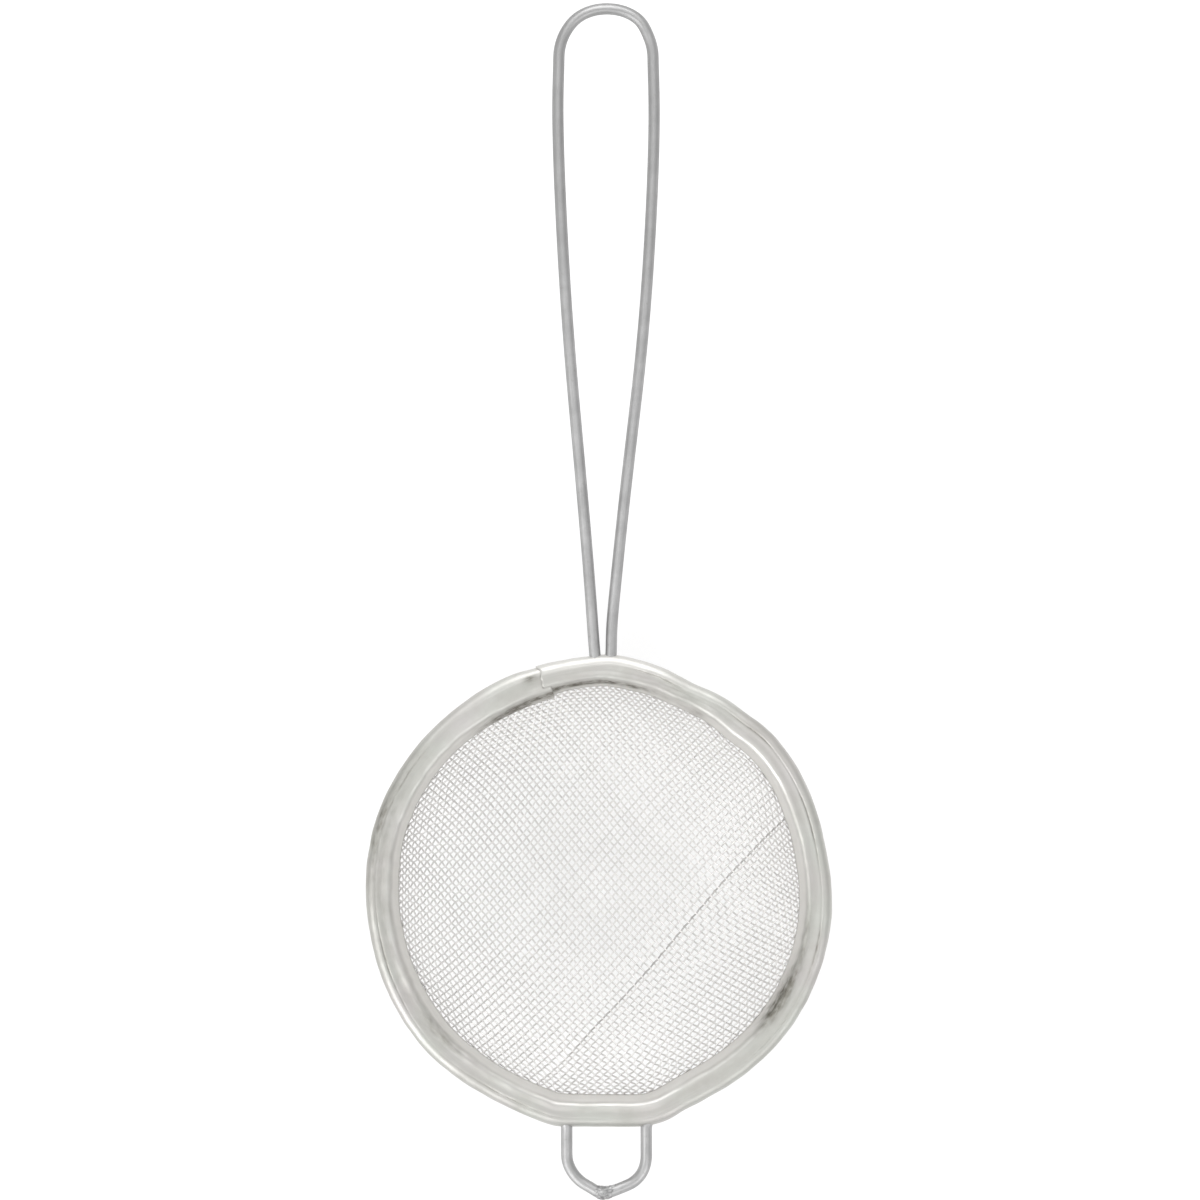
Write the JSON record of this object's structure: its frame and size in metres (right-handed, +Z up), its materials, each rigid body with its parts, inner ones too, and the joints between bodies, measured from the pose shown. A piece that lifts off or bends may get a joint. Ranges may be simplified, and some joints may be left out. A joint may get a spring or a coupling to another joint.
{
  "type": "tea strainer",
  "caption": "Round woven-mesh tea strainer: domed bowl in a folded sheet rim around a bent wire frame with a long loop handle and a small rest ear.",
  "frame": {"origin": "centre of the mouth, in the plane of the frame wire", "axes": "+Z up out of the mouth; +Y along the handle; -Y to the rest ear; the bowl hangs to -Z"},
  "size_m": [0.07, 0.1798, 0.0215],
  "materials": {
    "frame_wire": "drawn wire, satin",
    "rim_strip": "bright rolled sheet, lightly worn",
    "woven_mesh": "fine bright woven wire",
    "weld": "rough weld metal"
  },
  "bodies": {
    "root": {"frame_wire": "frame_wire", "rim_band": "rim_strip", "mesh_bowl": "woven_mesh", "ear_weld_bead": "weld"}
  },
  "joints": []
}
